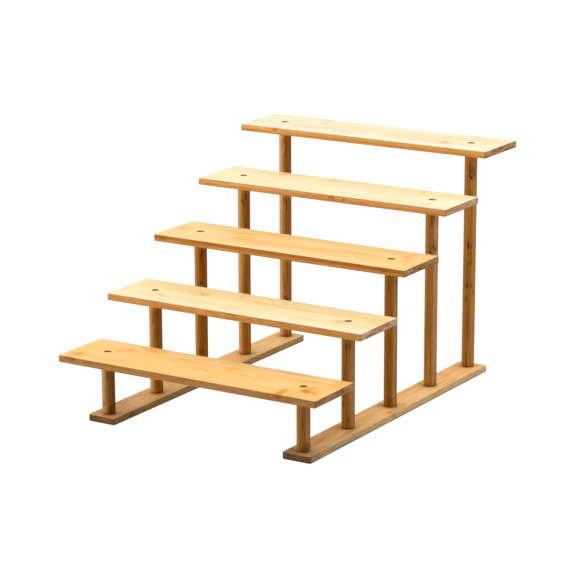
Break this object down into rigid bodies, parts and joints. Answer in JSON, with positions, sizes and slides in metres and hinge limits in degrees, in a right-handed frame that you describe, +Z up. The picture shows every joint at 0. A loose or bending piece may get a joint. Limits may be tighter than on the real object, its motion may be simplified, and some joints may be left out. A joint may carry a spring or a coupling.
{
  "type": "tiered display shelf",
  "caption": "Free-standing stepped riser: long bamboo boards climb backwards on round posts that stand on flat floor rails, for showing small goods.",
  "frame": {"origin": "on the floor, under the middle of the whole shelf", "axes": "+X to the shelf's right along the boards, seen from the front; +Y from the lowest tier back to the highest; +Z up"},
  "size_m": [0.335, 0.456, 0.28],
  "materials": {
    "board_bamboo": "satin clear lacquer over laminated bamboo strips",
    "post_bamboo": "satin clear lacquer over darker bamboo dowel",
    "rail_bamboo": "satin clear lacquer over bamboo strip",
    "screw_steel": "dull bronze-coloured zinc plating"
  },
  "bodies": {
    "root": {"tier_board_1": "board_bamboo", "tier_board_2": "board_bamboo", "tier_board_3": "board_bamboo", "tier_board_4": "board_bamboo", "tier_board_5": "board_bamboo", "post_left_1": "post_bamboo", "post_left_2": "post_bamboo", "post_left_3": "post_bamboo", "post_left_4": "post_bamboo", "post_left_5": "post_bamboo", "post_right_1": "post_bamboo", "post_right_2": "post_bamboo", "post_right_3": "post_bamboo", "post_right_4": "post_bamboo", "post_right_5": "post_bamboo", "base_rail_left": "rail_bamboo", "base_rail_right": "rail_bamboo", "board_screw_left_1": "screw_steel", "board_screw_left_2": "screw_steel", "board_screw_left_3": "screw_steel", "board_screw_left_4": "screw_steel", "board_screw_left_5": "screw_steel", "board_screw_right_1": "screw_steel", "board_screw_right_2": "screw_steel", "board_screw_right_3": "screw_steel", "board_screw_right_4": "screw_steel", "board_screw_right_5": "screw_steel", "rail_screw_left_1": "screw_steel", "rail_screw_left_2": "screw_steel", "rail_screw_left_3": "screw_steel", "rail_screw_left_4": "screw_steel", "rail_screw_left_5": "screw_steel", "rail_screw_right_1": "screw_steel", "rail_screw_right_2": "screw_steel", "rail_screw_right_3": "screw_steel", "rail_screw_right_4": "screw_steel", "rail_screw_right_5": "screw_steel"}
  },
  "joints": []
}
